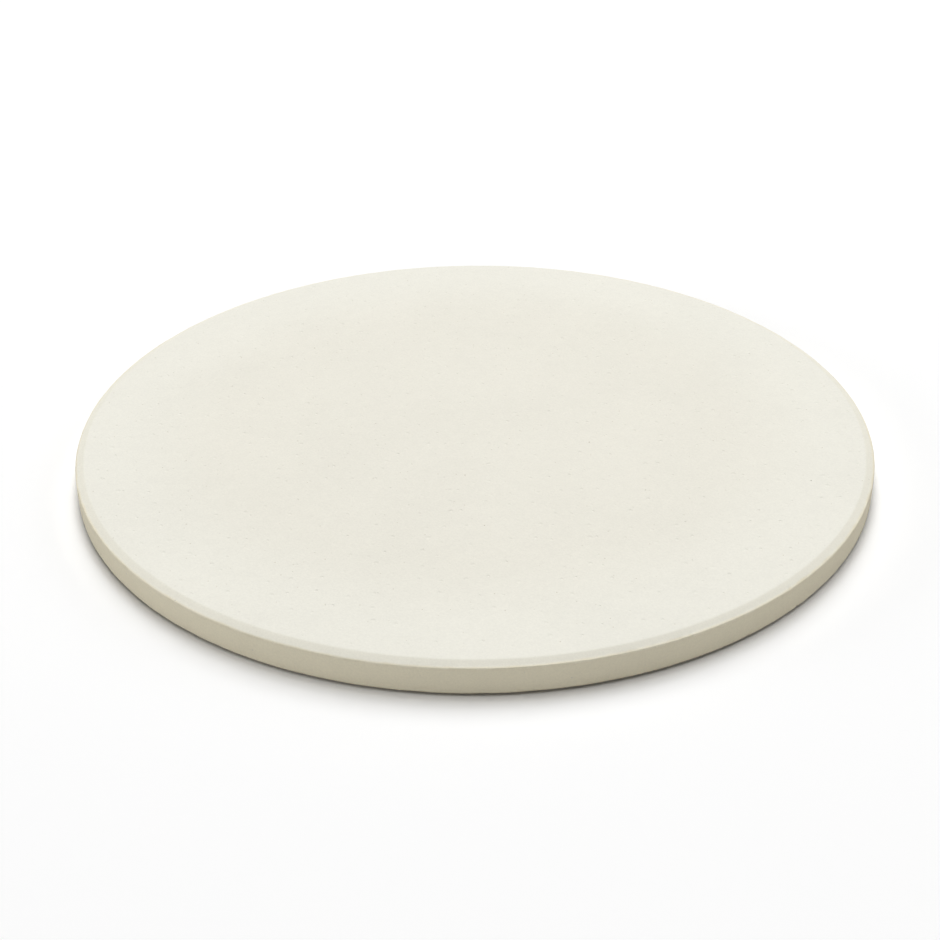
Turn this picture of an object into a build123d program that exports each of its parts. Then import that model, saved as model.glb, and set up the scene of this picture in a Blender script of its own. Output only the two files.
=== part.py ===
from build123d import *

import os

# A round baking stone: one disc of cordierite, pressed in a die and fired.
# Sizes are in millimetres. The origin is the middle of the underside, and +Z is up.

stone_diameter = 380.0
stone_thickness = 15.0

# The die presses a shallow bevel round the baking face. It slopes 23 degrees, a little
# less than the view across the stone, so on the far side it is only a thin line.
bevel_width = 4.0
bevel_drop = 1.7

# No edge of a pressed and fired stone is sharp, and each has its own roundness.
bevel_blend_radius = 2.0  # baking face into bevel
shoulder_radius = 1.0  # bevel into side wall, the sharpest of the three
foot_radius = 2.5  # side wall into underside, which makes the dark line at the table

# Radii and heights that follow from the sizes above
rim_radius = stone_diameter / 2
face_radius = rim_radius - bevel_width
wall_top = stone_thickness - bevel_drop


def half_section():
    """Half of the stone cut through its axis, with its three rim edges rounded."""
    axis_bottom = (0, 0)
    axis_top = (0, stone_thickness)
    foot = (rim_radius, 0)
    shoulder = (rim_radius, wall_top)
    face_edge = (face_radius, stone_thickness)

    with BuildSketch(Plane.XZ) as section:
        with BuildLine():
            FilletPolyline(
                axis_bottom,
                foot,
                shoulder,
                face_edge,
                axis_top,
                radius=(foot_radius, shoulder_radius, bevel_blend_radius),
            )
            Line(axis_top, axis_bottom)
        make_face()
    return section.sketch


def make_baking_stone():
    """The whole stone: its half section turned once round the axis."""
    stone = revolve(half_section(), axis=Axis.Z)
    stone.label = "baking_stone"
    return stone


baking_stone = make_baking_stone()

os.makedirs("parts", exist_ok=True)
export_step(baking_stone, "parts/baking_stone.step")

print(f"stone volume {baking_stone.volume / 1e6:.3f} litres")
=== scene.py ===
import math
import random

import bmesh
import bpy
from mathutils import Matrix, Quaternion, Vector


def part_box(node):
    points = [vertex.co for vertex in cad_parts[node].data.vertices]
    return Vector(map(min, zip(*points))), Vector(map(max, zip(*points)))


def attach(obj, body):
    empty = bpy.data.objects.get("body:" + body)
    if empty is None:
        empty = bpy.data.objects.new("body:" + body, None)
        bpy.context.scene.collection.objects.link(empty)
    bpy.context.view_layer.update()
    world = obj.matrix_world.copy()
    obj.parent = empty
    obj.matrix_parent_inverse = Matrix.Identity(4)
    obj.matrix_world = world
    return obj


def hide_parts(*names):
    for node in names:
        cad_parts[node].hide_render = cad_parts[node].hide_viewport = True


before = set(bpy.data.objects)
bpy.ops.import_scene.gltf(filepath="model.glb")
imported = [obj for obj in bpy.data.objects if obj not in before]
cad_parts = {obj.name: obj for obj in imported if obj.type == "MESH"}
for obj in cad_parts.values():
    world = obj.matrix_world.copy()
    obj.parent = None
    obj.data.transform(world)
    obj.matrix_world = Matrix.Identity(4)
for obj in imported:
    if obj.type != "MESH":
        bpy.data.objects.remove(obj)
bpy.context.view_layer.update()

# A round cordierite baking stone on a pale table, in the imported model's own place and size.
mm = 0.001
stoneLow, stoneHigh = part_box("baking_stone")
print("frame loaded, stone", [round(side / mm, 2) for side in stoneHigh - stoneLow], "mm")


# Selecting in edit mode, by place and normal

def startEdit(piece):
    bpy.ops.object.select_all(action="DESELECT")
    piece.select_set(True)
    bpy.context.view_layer.objects.active = piece
    bpy.ops.object.mode_set(mode="EDIT")


def pick(kind, test):
    # kind is "verts", "edges" or "faces"
    bpy.ops.mesh.select_mode(type={"verts": "VERT", "edges": "EDGE", "faces": "FACE"}[kind])
    bpy.ops.mesh.select_all(action="DESELECT")
    editMesh = bmesh.from_edit_mesh(bpy.context.edit_object.data)
    for element in [e for e in getattr(editMesh, kind) if test(e)]:
        element.select_set(True)
    editMesh.select_flush_mode()
    bmesh.update_edit_mesh(bpy.context.edit_object.data)


def radiusOf(point):
    return math.hypot(point.x, point.y)


slack = 0.02 * mm  # points that are nearer than this to a ring are on it


def onRing(edge, radius, height):
    return all(abs(radiusOf(v.co) - radius) < slack and abs(v.co.z - height) < slack for v in edge.verts)


# The stone

stone = {
    "radius": min(-stoneLow.x, stoneHigh.x, -stoneLow.y, stoneHigh.y),
    "thickness": stoneHigh.z,
    "bevelWidth": 4.0 * mm,
    "bevelDrop": 1.7 * mm,
    "blendRadius": 2.0 * mm,     # face into bevel
    "shoulderRadius": 1.0 * mm,  # bevel into wall
    "footRadius": 2.5 * mm,      # wall into underside
    "rimSteps": 320,             # round the rim, and a quarter of them across the face each way
    "rimCuts": 3,                # more steps between those, on the rim only
    "faceMargin": 1.0 * mm,      # a flat ring between the rim and the face's grid
    "blendSteps": 4,             # across the roundings
    "shoulderSteps": 6,
    "footSteps": 8,
    "wallCuts": 9,               # rows up the wall and across the bevel
    "bevelCuts": 2,
    "smoothAngle": math.radians(32),
}
wallTop = stone["thickness"] - stone["bevelDrop"]
faceRadius = stone["radius"] - stone["bevelWidth"]
bevelTilt = math.atan2(stone["bevelDrop"], stone["bevelWidth"])
blendReach = stone["blendRadius"] * math.tan(bevelTilt / 2)
shoulderTurn = math.pi / 2 - bevelTilt
midHeight = 5 * mm  # parts the points of the face's rim from those of the underside's
flat = 0.9          # a face whose normal has this much of up or down is no part of the wall


def roundRing(radius, height, arcRadius, turn, steps):
    # A bevel as wide as an arc of arcRadius needs where two flats meet at this turn
    pick("edges", lambda edge: onRing(edge, radius, height))
    bpy.ops.mesh.bevel(offset=arcRadius * math.tan(turn / 2), offset_type="OFFSET",
                       segments=steps, profile=0.5, affect="EDGES")


def makeBlank():
    # The pressed disc with its rim, a grid of quads on the face and another on the underside
    bpy.ops.object.select_all(action="DESELECT")
    bpy.ops.mesh.primitive_cylinder_add(
        vertices=stone["rimSteps"], radius=stone["radius"], depth=stone["thickness"],
        end_fill_type="NGON", location=(0, 0, stone["thickness"] / 2))
    piece = bpy.context.object
    piece.name = piece.data.name = "stone_body"
    bpy.ops.object.transform_apply(location=True, rotation=False, scale=False)

    startEdit(piece)
    # The bevel: the face is drawn in and the ring left outside it goes down
    pick("faces", lambda face: face.normal.z > flat)
    bpy.ops.mesh.inset(thickness=stone["bevelWidth"], depth=0)
    pick("verts", lambda v: v.co.z > wallTop and radiusOf(v.co) > stone["radius"] - 0.5 * mm)
    bpy.ops.transform.translate(value=(0, 0, -stone["bevelDrop"]))

    roundRing(faceRadius, stone["thickness"], stone["blendRadius"], bevelTilt, stone["blendSteps"])
    roundRing(stone["radius"], wallTop, stone["shoulderRadius"], shoulderTurn, stone["shoulderSteps"])
    roundRing(stone["radius"], 0, stone["footRadius"], math.pi / 2, stone["footSteps"])

    # Rows on the wall and on the bevel
    pick("edges", lambda edge: abs(edge.verts[0].co.z - edge.verts[1].co.z) > midHeight)
    bpy.ops.mesh.subdivide(number_cuts=stone["wallCuts"])
    pick("edges", lambda edge: all(v.co.z > midHeight for v in edge.verts)
         and abs(radiusOf(edge.verts[0].co) - radiusOf(edge.verts[1].co)) > stone["bevelWidth"] / 2)
    bpy.ops.mesh.subdivide(number_cuts=stone["bevelCuts"])

    for side, rimZ in ((1, stone["thickness"]), (-1, 0)):
        pick("faces", lambda face: face.normal.z * side > flat and len(face.verts) > 4)
        bpy.ops.mesh.inset(thickness=stone["faceMargin"], depth=0)
        bpy.ops.mesh.delete(type="ONLY_FACE")
        pick("edges", lambda edge: edge.is_boundary and abs(edge.verts[0].co.z - rimZ) < slack)
        bpy.ops.mesh.fill_grid(span=stone["rimSteps"] // 4, offset=0)
    bpy.ops.mesh.select_all(action="SELECT")
    bpy.ops.mesh.normals_make_consistent(inside=False)
    return piece


# Small pits where air was trapped under the die. Sizes are across the mouth, which two cuts open, each
# a share of the size. Each step down has its width and its drop, as shares of the size and the depth.
pits = {
    "coarse": {"count": 8, "size": 1.0 * mm, "depth": 0.22 * mm, "seed": 4},
    "fine": {"count": 36, "size": 0.65 * mm, "depth": 0.15 * mm, "seed": 9},
    "edgeGap": 9.0 * mm,
    "spacing": 11.0 * mm,
    "mouthCuts": (0.5, 0.2),
    "steps": ((0.12, 0.65), (0.15, 0.35)),
}
straightUp = 0.999  # a point or face whose normal has this much of up or down is on a level surface


def pressPits(kind, taken):
    # Points of the two grids are opened to eight-sided mouths, which sink in steps
    pit = pits[kind]
    draw = random.Random(pit["seed"])
    editMesh = bmesh.from_edit_mesh(bpy.context.edit_object.data)
    points = [v for v in editMesh.verts if abs(v.normal.z) > straightUp and len(v.link_edges) == 4
              and radiusOf(v.co) < faceRadius - pits["edgeGap"]]
    spots = set()
    while len(spots) < pit["count"]:
        v = draw.choice(points)
        if all((v.co - other).length > pits["spacing"] for other in taken):
            taken.append(v.co.copy())
            spots.add(v.index)
    pick("verts", lambda v: v.index in spots)
    for share in pits["mouthCuts"]:
        bpy.ops.mesh.bevel(offset=pit["size"] * share, offset_type="OFFSET", segments=1, affect="VERTICES")
    largest = 1.2 * pit["size"] ** 2  # more than any mouth has
    pick("faces", lambda face: abs(face.normal.z) > straightUp and len(face.verts) == 8
         and face.calc_area() < largest)
    for width, drop in pits["steps"]:
        bpy.ops.mesh.inset(thickness=pit["size"] * width, depth=-pit["depth"] * drop, use_individual=True)


def refineRim():
    # Shorter steps round the rim, so that it can take small waves and chips
    faceEdge = faceRadius - blendReach - stone["faceMargin"] / 2
    footEdge = stone["radius"] - stone["footRadius"] - stone["faceMargin"] / 2

    def alongRim(edge):
        a, b = edge.verts[0].co, edge.verts[1].co
        level = abs(a.z - b.z) < slack and abs(radiusOf(a) - radiusOf(b)) < slack
        return level and radiusOf(a) > (faceEdge if a.z > midHeight else footEdge)

    pick("edges", alongRim)
    bpy.ops.mesh.subdivide(number_cuts=stone["rimCuts"])


def paint(piece, name, weightAt):
    # A vertex group with a weight from each point's place
    group = piece.vertex_groups.new(name=name)
    for v in piece.data.vertices:
        weight = weightAt(v.co)
        if weight > 0.001:
            group.add([v.index], weight, "REPLACE")


def fade(distance, inner, outer):
    # 1 up to inner, falling to 0 at outer
    return min(1, max(0, (outer - distance) / (outer - inner)))


# Radius and height, in the section, of the middles of the two rounded edges and of the foot's band of
# painted shade, which is two thirds of the way round from the wall to the underside
shoulderAt = Vector((
    stone["radius"] - stone["shoulderRadius"] * (1 - math.cos(shoulderTurn / 2)),
    wallTop - stone["shoulderRadius"] * (math.tan(shoulderTurn / 2) - math.sin(shoulderTurn / 2))))
footAt = Vector((stone["radius"] - stone["footRadius"] * (1 - math.sqrt(0.5)),
                 stone["footRadius"] * (1 - math.sqrt(0.5))))
footShadeAt = Vector((stone["radius"] - stone["footRadius"] * 0.5, stone["footRadius"] * 0.13))


# How far wear reaches: full up to the first distance, gone at the second. The bevel's and the wall's
# are from the rim inwards, and the edges' are from their middles.
reach = {
    "shoulder": (0.8 * mm, 2.6 * mm),
    "foot": (1.2 * mm, 2.8 * mm),
    "bevel": (2.5 * mm, 5.5 * mm),
    "wall": (0.2 * mm, 0.6 * mm),
}
flatShare = 0.35  # how much of an edge's wear the bevel and the wall take


def onShoulder(co):
    return fade((Vector((radiusOf(co), co.z)) - shoulderAt).length, *reach["shoulder"])


def onFoot(co):
    return fade((Vector((radiusOf(co), co.z)) - footAt).length, *reach["foot"])


def onRim(co):
    inward = stone["radius"] - radiusOf(co)
    bevel = fade(inward, *reach["bevel"]) if co.z > midHeight else 0
    wall = fade(inward, *reach["wall"])
    return max(flatShare * max(bevel, wall), onShoulder(co), onFoot(co))


# Every one of these only sinks the surface, so the stone stays inside its size.
# A cloud value under "from" sinks it fully and one over "to" leaves it.
wear = {
    "facePlay": {"scale": 75 * mm, "depth": 0.14 * mm, "from": 0.2, "to": 0.8,
                 "weightAt": lambda co: 1.0 if co.z > wallTop + 0.2 * mm else 0.0},
    "rimWaves": {"scale": 9 * mm, "depth": 0.12 * mm, "from": 0.25, "to": 0.65, "weightAt": onRim},
    "rimGrit": {"scale": 2.2 * mm, "depth": 0.03 * mm, "from": 0.25, "to": 0.65, "weightAt": onRim},
    "shoulderChips": {"scale": 3.2 * mm, "depth": 0.25 * mm, "from": 0.16, "to": 0.22,
                      "weightAt": onShoulder},
    "footChips": {"scale": 3.6 * mm, "depth": 0.40 * mm, "from": 0.18, "to": 0.26, "weightAt": onFoot},
}


def sink(piece, name):
    # Clouds press the surface in, as far as the painted group reaches
    work = wear[name]
    paint(piece, name, work["weightAt"])
    cloud = bpy.data.textures.new(name, "CLOUDS")
    cloud.noise_scale = work["scale"]
    cloud.noise_depth = 1
    cloud.use_color_ramp = True
    low, high = cloud.color_ramp.elements
    low.position, low.color = work["from"], (0, 0, 0, 1)
    high.position, high.color = work["to"], (1, 1, 1, 1)
    bpy.ops.object.modifier_add(type="DISPLACE")
    press = piece.modifiers[-1]
    press.name = name
    press.texture = cloud
    press.texture_coords = "LOCAL"
    press.vertex_group = name
    press.mid_level = 1
    press.strength = work["depth"]
    bpy.ops.object.modifier_apply(modifier=press.name)


def makeStone():
    piece = makeBlank()
    taken = []
    for kind in ("coarse", "fine"):
        pressPits(kind, taken)
    refineRim()
    bpy.ops.object.mode_set(mode="OBJECT")
    for name in wear:
        sink(piece, name)
    piece.vertex_groups.clear()
    bpy.ops.object.shade_smooth_by_angle(angle=stone["smoothAngle"])
    return piece


stoneBody = makeStone()
print("stone modelled,", len(stoneBody.data.polygons), "faces")


# Materials

def linear(hexColour):
    # sRGB hex to the linear values that the shaders take
    channels = [int(hexColour[i:i + 2], 16) / 255 for i in (1, 3, 5)]
    return tuple(c / 12.92 if c <= 0.04045 else ((c + 0.055) / 1.055) ** 2.4 for c in channels) + (1,)


def addNode(tree, kind, settings=None, values=None, links=None):
    # One shader node, with its properties, its input values and what its inputs read
    node = tree.nodes.new(kind)
    for name, value in (settings or {}).items():
        setattr(node, name, value)
    for socket, value in (values or {}).items():
        node.inputs[socket].default_value = value
    for socket, source in (links or {}).items():
        tree.links.new(source, node.inputs[socket])
    return node


def newMaterial(name):
    material = bpy.data.materials.new(name)
    material.use_nodes = True
    material.node_tree.nodes.clear()
    return material, material.node_tree


# Cordierite, pressed dry from fine clay and grog and fired unglazed: a matte ivory body with a fine
# grain, a few darker grains of grog and iron, shallow dents, and a side that keeps the warmer tone of the
# kiln. Painted light on it: the bevel is painted lighter than the face, the pale bands on the shoulder
# and the foot are partly rubbed wear and partly painted highlight, and the foot is painted darker, a
# painted shade for the brown line that shows at the table.
cordierite = {
    "face": "#EEEBDF",
    "outerFace": "#F1EFE4",
    # Painted light: the bevel is drawn lighter than the face, for brightness its slope does not get from the
    # lamps
    "bevel": "#F2EFE1",
    "side": "#ECE4CB",
    # Partly rubbed wear, partly painted highlight: the light line along the shoulder and light flecks at the
    # foot
    "wornAndHighlight": "#F8F1DE",
    # Painted shade: the foot's dark tone stands in for the contact shadow where the stone meets the table
    "foot": "#968A70",
    "grog": "#D9D3C4",
    "iron": "#B5AA96",
    # Where each tone starts and where it is full: the first two outwards, the side's downwards
    "outerFades": (115 * mm, 178 * mm),
    "bevelFades": (faceRadius - 1.0 * mm, faceRadius + 0.8 * mm),
    "sideFades": (wallTop + 0.5 * mm, wallTop - 0.1 * mm),
    # How far the side's line strays up and down, and the size of the noise that moves it
    "sideStray": 0.2 * mm,
    "sideStraySize": 5 * mm,
    # Bands round the rim: tone, middle in the section, distances where it is full and where it ends,
    # size of the noise that breaks it up, noise value that it starts at, and strength
    "bands": [
        # Painted shade on the foot, for the dark line at the table
        ("foot", footShadeAt, 0.70 * mm, 1.80 * mm, 9.0 * mm, 0.10, 0.90),
        # Pale bands on the shoulder and the foot: partly rubbed wear, partly painted highlight
        ("wornAndHighlight", shoulderAt, 0.20 * mm, 0.80 * mm, 6.0 * mm, 0.45, 0.35),
        ("wornAndHighlight", footAt, 0.60 * mm, 1.50 * mm, 3.0 * mm, 0.60, 0.60),
    ],
    # Size and strength of the tones. The real grit is 0.1 to 0.3 mm; it is drawn at 0.9 mm, so that
    # it shows at half a millimetre to the pixel.
    "tones": [(48 * mm, 0.012), (7 * mm, 0.008), (0.9 * mm, 0.030)],
    # Grog, one grain to a cell, with the least and the greatest radius
    "speckCell": 4.2 * mm,
    "speckRadius": (0.075 * mm, 0.50 * mm),
    "speckCore": 0.4,  # share of a grain's radius that has its full tone
    "ironShare": 0.03,
    "grainRelief": 0.035 * mm,
    # Shallow dents from loose grit on the die, one to a cell, fading out at the face's edge
    "dentCell": 10 * mm,
    "dentRadius": (0.6 * mm, 1.5 * mm),
    "dentDepth": 0.28 * mm,
    "dentsEnd": (faceRadius - 3 * mm, faceRadius - 2 * mm),
    "roughness": (0.80, 0.92),
    "ior": 1.54,
    "specular": 0.4,
}
patchEdge = 0.14  # rise of a noise's value from a patch's border to its full tone
noiseLow, noiseHigh = 0.3, 0.7  # nearly all of a noise's values lie between these
smooth = {"interpolation_type": "SMOOTHSTEP"}
ofColours = {"data_type": "RGBA"}


def findSection(tree, place):
    # Where a point lies: its place on the level plane, its distance from the axis, and its height
    xyz = addNode(tree, "ShaderNodeSeparateXYZ", links={"Vector": place})
    level = addNode(tree, "ShaderNodeCombineXYZ",
                    links={"X": xyz.outputs["X"], "Y": xyz.outputs["Y"]}).outputs["Vector"]
    outward = addNode(tree, "ShaderNodeVectorMath", {"operation": "LENGTH"}, links={0: level})
    return level, outward.outputs["Value"], xyz.outputs["Z"]


def layTones(tree, place, outward, height):
    # The face, its paler outer part and the bevel, painted lighter as painted light, and the side, which
    # begins on an uneven line
    faceMask = addNode(tree, "ShaderNodeMapRange", smooth, values={
        "From Min": cordierite["outerFades"][0], "From Max": cordierite["outerFades"][1]},
        links={"Value": outward})
    colour = addNode(tree, "ShaderNodeMix", ofColours, values={
        6: linear(cordierite["face"]), 7: linear(cordierite["outerFace"])},
        links={0: faceMask.outputs["Result"]}).outputs[2]
    bevelPaintedLightMask = addNode(tree, "ShaderNodeMapRange", smooth, values={
        "From Min": cordierite["bevelFades"][0], "From Max": cordierite["bevelFades"][1]},
        links={"Value": outward})
    colour = addNode(tree, "ShaderNodeMix", ofColours, values={7: linear(cordierite["bevel"])},
                     links={0: bevelPaintedLightMask.outputs["Result"], 6: colour}).outputs[2]

    stray = addNode(tree, "ShaderNodeTexNoise",
                    values={"Scale": 1 / cordierite["sideStraySize"], "Detail": 2},
                    links={"Vector": place})
    shift = addNode(tree, "ShaderNodeMath", {"operation": "MULTIPLY_ADD"},
                    values={1: 2 * cordierite["sideStray"], 2: -cordierite["sideStray"]},
                    links={0: stray.outputs["Fac"]})
    strayed = addNode(tree, "ShaderNodeMath", {"operation": "ADD"}, links={0: height, 1: shift.outputs[0]})
    sideMask = addNode(tree, "ShaderNodeMapRange", smooth, values={
        "From Min": cordierite["sideFades"][0], "From Max": cordierite["sideFades"][1]},
        links={"Value": strayed.outputs[0]})
    return addNode(tree, "ShaderNodeMix", ofColours, values={7: linear(cordierite["side"])},
                   links={0: sideMask.outputs["Result"], 6: colour}).outputs[2]


def layBands(tree, place, outward, height, colour):
    # The bands round the rim, by distance from their middles: a painted shade on the foot, and pale bands
    # that are partly rubbed wear and partly painted highlight
    section = addNode(tree, "ShaderNodeCombineXYZ", links={"X": outward, "Y": height}).outputs["Vector"]
    for tone, point, inner, outer, patchSize, start, strength in cordierite["bands"]:
        away = addNode(tree, "ShaderNodeVectorMath", {"operation": "DISTANCE"},
                       values={1: (point.x, point.y, 0)}, links={0: section})
        band = addNode(tree, "ShaderNodeMapRange", smooth, values={
            "From Min": outer, "From Max": inner, "To Max": strength}, links={"Value": away.outputs["Value"]})
        patch = addNode(tree, "ShaderNodeTexNoise", values={"Scale": 1 / patchSize, "Detail": 3},
                        links={"Vector": place})
        patches = addNode(tree, "ShaderNodeMapRange", smooth, values={
            "From Min": start, "From Max": start + patchEdge}, links={"Value": patch.outputs["Fac"]})
        covered = addNode(tree, "ShaderNodeMath", {"operation": "MULTIPLY"},
                          links={0: band.outputs["Result"], 1: patches.outputs["Result"]})
        colour = addNode(tree, "ShaderNodeMix", ofColours, values={7: linear(cordierite[tone])},
                         links={0: covered.outputs[0], 6: colour}).outputs[2]
    return colour


def layGrog(tree, place, colour):
    # Each grain is cut at whatever depth the surface meets it, and its outline is soft
    cells = addNode(tree, "ShaderNodeTexVoronoi", values={"Scale": 1 / cordierite["speckCell"]},
                    links={"Vector": place})
    lot = addNode(tree, "ShaderNodeSeparateColor", links={"Color": cells.outputs["Color"]})
    grainSize = addNode(tree, "ShaderNodeMapRange", values={
        "To Min": cordierite["speckRadius"][0] / cordierite["speckCell"],
        "To Max": cordierite["speckRadius"][1] / cordierite["speckCell"]},
        links={"Value": lot.outputs["Red"]}).outputs["Result"]
    core = addNode(tree, "ShaderNodeMath", {"operation": "MULTIPLY"},
                   values={1: cordierite["speckCore"]}, links={0: grainSize})
    speck = addNode(tree, "ShaderNodeMapRange", smooth, values={"To Min": 1, "To Max": 0}, links={
        "Value": cells.outputs["Distance"], "From Min": core.outputs[0], "From Max": grainSize})
    isIron = addNode(tree, "ShaderNodeMath", {"operation": "LESS_THAN"},
                     values={1: cordierite["ironShare"]}, links={0: lot.outputs["Green"]})
    grog = addNode(tree, "ShaderNodeMix", ofColours, values={
        6: linear(cordierite["grog"]), 7: linear(cordierite["iron"])}, links={0: isIron.outputs[0]})
    colour = addNode(tree, "ShaderNodeMix", ofColours,
                     links={0: speck.outputs["Result"], 6: colour, 7: grog.outputs[2]}).outputs[2]
    return colour, speck.outputs["Result"]


def layGrain(tree, place, colour):
    # Lighter and darker tones, from the clouds of the firing down to the grain, which is the last
    for size, strength in cordierite["tones"]:
        noise = addNode(tree, "ShaderNodeTexNoise", values={"Scale": 1 / size, "Detail": 2, "Roughness": 0.6},
                        links={"Vector": place})
        tone = addNode(tree, "ShaderNodeMapRange", {"clamp": False}, values={
            "From Min": noiseLow, "From Max": noiseHigh, "To Min": 1 - strength, "To Max": 1 + strength},
            links={"Value": noise.outputs["Fac"]})
        colour = addNode(tree, "ShaderNodeVectorMath", {"operation": "SCALE"},
                         links={0: colour, "Scale": tone.outputs["Result"]}).outputs["Vector"]
    return colour, noise.outputs["Fac"]


def pressDents(tree, level, outward):
    # How deep the face is dented, from 0 to 1: each cell has its own size and depth
    cells = addNode(tree, "ShaderNodeTexVoronoi", {"voronoi_dimensions": "2D"},
                    values={"Scale": 1 / cordierite["dentCell"]}, links={"Vector": level})
    lot = addNode(tree, "ShaderNodeSeparateColor", links={"Color": cells.outputs["Color"]})
    dentSize = addNode(tree, "ShaderNodeMapRange", values={
        "To Min": cordierite["dentRadius"][0] / cordierite["dentCell"],
        "To Max": cordierite["dentRadius"][1] / cordierite["dentCell"]},
        links={"Value": lot.outputs["Red"]})
    dip = addNode(tree, "ShaderNodeMapRange", smooth, values={"To Min": 1, "To Max": 0},
                  links={"Value": cells.outputs["Distance"], "From Max": dentSize.outputs["Result"]})
    onFace = addNode(tree, "ShaderNodeMapRange", values={
        "From Min": cordierite["dentsEnd"][0], "From Max": cordierite["dentsEnd"][1],
        "To Min": 1, "To Max": 0}, links={"Value": outward})
    pressed = addNode(tree, "ShaderNodeMath", {"operation": "MULTIPLY"},
                      links={0: dip.outputs["Result"], 1: onFace.outputs["Result"]})
    return addNode(tree, "ShaderNodeMath", {"operation": "MULTIPLY"},
                   links={0: pressed.outputs[0], 1: lot.outputs["Green"]}).outputs[0]


def makeCordierite():
    material, tree = newMaterial("fired_cordierite")
    place = addNode(tree, "ShaderNodeTexCoord").outputs["Object"]
    level, outward, height = findSection(tree, place)
    colour = layTones(tree, place, outward, height)
    colour = layBands(tree, place, outward, height, colour)
    colour, speck = layGrog(tree, place, colour)
    colour, grain = layGrain(tree, place, colour)
    rough = addNode(tree, "ShaderNodeMapRange", values={
        "From Min": noiseLow, "From Max": noiseHigh,
        "To Min": cordierite["roughness"][0], "To Max": cordierite["roughness"][1]}, links={"Value": grain})

    # Relief: the grain stands up, the grog grains are torn out a little, and the dents go down
    torn = addNode(tree, "ShaderNodeMath", {"operation": "SUBTRACT"}, links={0: grain, 1: speck})
    relief = addNode(tree, "ShaderNodeMath", {"operation": "MULTIPLY_ADD"},
                     values={1: -cordierite["dentDepth"] / cordierite["grainRelief"]},
                     links={0: pressDents(tree, level, outward), 2: torn.outputs[0]})
    bump = addNode(tree, "ShaderNodeBump", values={"Strength": 1, "Distance": cordierite["grainRelief"]},
                   links={"Height": relief.outputs[0]})

    shader = addNode(tree, "ShaderNodeBsdfPrincipled",
                     values={"IOR": cordierite["ior"], "Specular IOR Level": cordierite["specular"]},
                     links={"Base Color": colour, "Roughness": rough.outputs["Result"],
                            "Normal": bump.outputs["Normal"]})
    addNode(tree, "ShaderNodeOutputMaterial", links={"Surface": shader.outputs["BSDF"]})
    return material


stoneBody.data.materials.append(makeCordierite())
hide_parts("baking_stone")
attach(stoneBody, "root")
print("materials done")


# The table, the lights and the camera

table = {
    "halfWidth": 1.2,
    "bounce": "#EDEDED",  # what it gives back to the stone
    "seen": 1.03,         # what the camera sees, so that it is white past the stone's shadow
}


def makeTable():
    bpy.ops.object.select_all(action="DESELECT")
    bpy.ops.mesh.primitive_plane_add(size=2 * table["halfWidth"], location=(0, 0, 0))
    floor = bpy.context.object
    floor.name = floor.data.name = "table"
    material, tree = newMaterial("white_table_top")
    path = addNode(tree, "ShaderNodeLightPath")
    colour = addNode(tree, "ShaderNodeMix", ofColours, values={
        6: linear(table["bounce"]), 7: (table["seen"], table["seen"], table["seen"], 1)},
        links={0: path.outputs["Is Camera Ray"]})
    shader = addNode(tree, "ShaderNodeBsdfDiffuse", links={"Color": colour.outputs[2]})
    addNode(tree, "ShaderNodeOutputMaterial", links={"Surface": shader.outputs["BSDF"]})
    floor.data.materials.append(material)


def makeWorld():
    # White to the camera, and no light to anything else: the dark line under the stone stays dark
    world = bpy.data.worlds.new("studio")
    bpy.context.scene.world = world
    world.use_nodes = True
    tree = world.node_tree
    tree.nodes.clear()
    path = addNode(tree, "ShaderNodeLightPath")
    shown = addNode(tree, "ShaderNodeBackground", values={"Color": (1, 1, 1, 1)},
                    links={"Strength": path.outputs["Is Camera Ray"]})
    addNode(tree, "ShaderNodeOutputWorld", links={"Surface": shown.outputs["Background"]})


# Angle from straight up, turn from the rear towards the left, power in watts, and width in metres.
# They stand far off, so that the face is as bright in front as behind.
softboxes = {
    "overheadSoftbox": (0, 0, 143, 4.2),
    "rearTopSoftbox": (20, 0, 150, 3.2),
    "rearSoftbox": (40, 0, 186, 3.8),
    "rightSoftbox": (62, 300, 86, 3.8),
    "leftSoftbox": (78, 90, 96, 2.4),
    "frontSoftbox": (78, 180, 78, 2.4),
}
softboxDistance = 7.0


def makeSoftbox(name):
    lean, turn, power, width = softboxes[name]
    lean, turn = math.radians(lean), math.radians(turn)
    outward = Vector((-math.sin(turn) * math.sin(lean), math.cos(turn) * math.sin(lean), math.cos(lean)))
    bpy.ops.object.light_add(type="AREA", location=outward * softboxDistance,
                             rotation=(-outward).to_track_quat("-Z", "Y").to_euler())
    lamp = bpy.context.object
    lamp.name = lamp.data.name = name
    lamp.data.shape = "DISK"
    lamp.data.size = width
    lamp.data.energy = power
    lamp.visible_camera = False


photoView = {
    "distance": 0.765,
    "elevation": math.radians(30.39),
    "aim": Vector((-2.23 * mm, -21.1 * mm, 0)),
    "roll": math.radians(-0.463),
    "lens": 59.7,    # millimetres, as the sensor's width is
    "sensor": 36.0,
}


def makeCamera():
    outward = Vector((0, -math.cos(photoView["elevation"]), math.sin(photoView["elevation"])))
    place = outward * photoView["distance"]
    bpy.ops.object.camera_add(location=place)
    camera = bpy.context.object
    camera.name = camera.data.name = "photo_camera"
    camera.rotation_mode = "QUATERNION"
    aim = (photoView["aim"] - place).to_track_quat("-Z", "Y")
    camera.rotation_quaternion = aim @ Quaternion((0, 0, 1), photoView["roll"])
    camera.data.lens = photoView["lens"]
    camera.data.sensor_width = photoView["sensor"]
    camera.data.dof.use_dof = False
    bpy.context.scene.camera = camera


makeTable()
makeWorld()
for name in softboxes:
    makeSoftbox(name)
makeCamera()
bpy.context.scene.view_settings.view_transform = "Standard"
print("studio set up")
